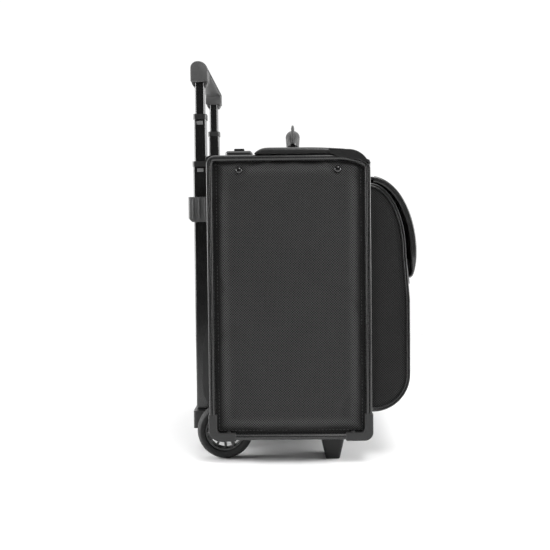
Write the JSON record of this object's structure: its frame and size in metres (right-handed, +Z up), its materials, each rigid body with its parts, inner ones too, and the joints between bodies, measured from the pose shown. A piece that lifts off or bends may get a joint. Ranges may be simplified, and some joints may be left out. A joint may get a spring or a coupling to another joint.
{
  "type": "rolling flight case",
  "caption": "Upright box case on wheels with a front-hinged lid, flap pocket, carry handle, twin combination locks and a telescoping trolley handle.",
  "frame": {"origin": "on the floor, centred under the whole object's bounding box", "axes": "+Z up, -Y to the front (pocket side), +Y to the rear (trolley side), X across the width"},
  "size_m": [0.459, 0.293, 0.5185],
  "materials": {
    "nylon": "woven",
    "vinyl": "satin",
    "board": "matte",
    "lining": "woven",
    "moulding": "satin",
    "grip": "satin",
    "tube": "anodised",
    "black_metal": "satin",
    "bright": "polished",
    "steel": "brushed",
    "tread": "matte",
    "rim": "satin",
    "hide": "grained"
  },
  "bodies": {
    "case": {"side_board_left": "board", "side_board_right": "board", "front_board": "board", "rear_board": "board", "bottom_pan": "board", "top_deck": "board", "side_cover_left": "nylon", "side_cover_right": "nylon", "front_cover": "nylon", "rear_cover": "nylon", "side_trim_left": "vinyl", "side_trim_right": "vinyl", "side_rivets": "black_metal", "corner_guards": "moulding", "divider": "lining", "laptop_sleeve": "lining", "wheel_housing_left": "moulding", "wheel_housing_right": "moulding", "foot_left": "moulding", "foot_right": "moulding", "axle_bolts": "steel", "upper_bracket": "moulding", "lower_bracket": "moulding", "bracket_screws": "steel", "outer_tubes": "tube", "outer_collars": "moulding", "lock_base_left": "black_metal", "lock_base_right": "black_metal", "pocket_sides": "nylon", "pocket_shell": "nylon", "clasp_plate": "bright"},
    "trolley_mid": {"mid_tubes": "tube", "mid_collars": "moulding", "mid_plugs": "moulding"},
    "trolley_inner": {"inner_tubes": "tube", "lock_rods": "steel", "trolley_grip": "grip"},
    "release_button": {"release_button": "grip"},
    "lid": {"lid_cover": "nylon", "lid_board": "board", "hasps": "steel", "handle_anchors": "black_metal"},
    "carry_handle": {"handle_grip": "hide"},
    "flap": {"pocket_flap": "nylon", "clasp_tongue": "bright"},
    "wheel_left": {"tyre_left": "tread", "hub_left": "rim", "bearings_left": "steel"},
    "lock_slider_left": {"lock_slider_left": "bright"},
    "dial_left_1": {"dial_left_1": "bright"},
    "dial_left_2": {"dial_left_2": "bright"},
    "dial_left_3": {"dial_left_3": "bright"},
    "wheel_right": {"tyre_right": "tread", "hub_right": "rim", "bearings_right": "steel"},
    "lock_slider_right": {"lock_slider_right": "bright"},
    "dial_right_1": {"dial_right_1": "bright"},
    "dial_right_2": {"dial_right_2": "bright"},
    "dial_right_3": {"dial_right_3": "bright"}
  },
  "joints": [
    {"name": "trolley_lower_slide", "type": "slide", "parent": "case", "child": "trolley_mid", "axis": [0, 0, 1], "range_m": [0, 0.25]},
    {"name": "trolley_upper_slide", "type": "slide", "parent": "trolley_mid", "child": "trolley_inner", "axis": [0, 0, 1], "range_m": [0, 0.25]},
    {"name": "release_press", "type": "slide", "parent": "trolley_inner", "child": "release_button", "axis": [0, 0, -1], "range_m": [0, 0.003], "stiffness_N_per_m": 500},
    {"name": "lid_hinge", "type": "hinge", "parent": "case", "child": "lid", "pos_m": [0, -0.0883, 0.3723], "axis": [1, 0, 0], "range_deg": [0, 170]},
    {"name": "handle_swing", "type": "hinge", "parent": "lid", "child": "carry_handle", "pos_m": [0, 0.0074, 0.4006], "axis": [1, 0, 0], "range_deg": [-62, 62]},
    {"name": "flap_hinge", "type": "hinge", "parent": "case", "child": "flap", "pos_m": [0, -0.088, 0.358], "axis": [1, 0, 0], "range_deg": [-85, 0]},
    {"name": "wheel_spin_left", "type": "hinge", "parent": "case", "child": "wheel_left", "pos_m": [-0.187, 0.098, 0.0357], "axis": [1, 0, 0], "continuous": true},
    {"name": "lock_release_left", "type": "slide", "parent": "case", "child": "lock_slider_left", "axis": [-1, 0, 0], "range_m": [0, 0.005], "stiffness_N_per_m": 200},
    {"name": "dial_turn_left_1", "type": "hinge", "parent": "case", "child": "dial_left_1", "pos_m": [-0.125, 0.077, 0.3907], "axis": [1, 0, 0], "continuous": true},
    {"name": "dial_turn_left_2", "type": "hinge", "parent": "case", "child": "dial_left_2", "pos_m": [-0.133, 0.077, 0.3907], "axis": [1, 0, 0], "continuous": true},
    {"name": "dial_turn_left_3", "type": "hinge", "parent": "case", "child": "dial_left_3", "pos_m": [-0.141, 0.077, 0.3907], "axis": [1, 0, 0], "continuous": true},
    {"name": "wheel_spin_right", "type": "hinge", "parent": "case", "child": "wheel_right", "pos_m": [0.187, 0.098, 0.0357], "axis": [1, 0, 0], "continuous": true},
    {"name": "lock_release_right", "type": "slide", "parent": "case", "child": "lock_slider_right", "axis": [1, 0, 0], "range_m": [0, 0.005], "stiffness_N_per_m": 200},
    {"name": "dial_turn_right_1", "type": "hinge", "parent": "case", "child": "dial_right_1", "pos_m": [0.125, 0.077, 0.3907], "axis": [1, 0, 0], "continuous": true},
    {"name": "dial_turn_right_2", "type": "hinge", "parent": "case", "child": "dial_right_2", "pos_m": [0.133, 0.077, 0.3907], "axis": [1, 0, 0], "continuous": true},
    {"name": "dial_turn_right_3", "type": "hinge", "parent": "case", "child": "dial_right_3", "pos_m": [0.141, 0.077, 0.3907], "axis": [1, 0, 0], "continuous": true}
  ]
}
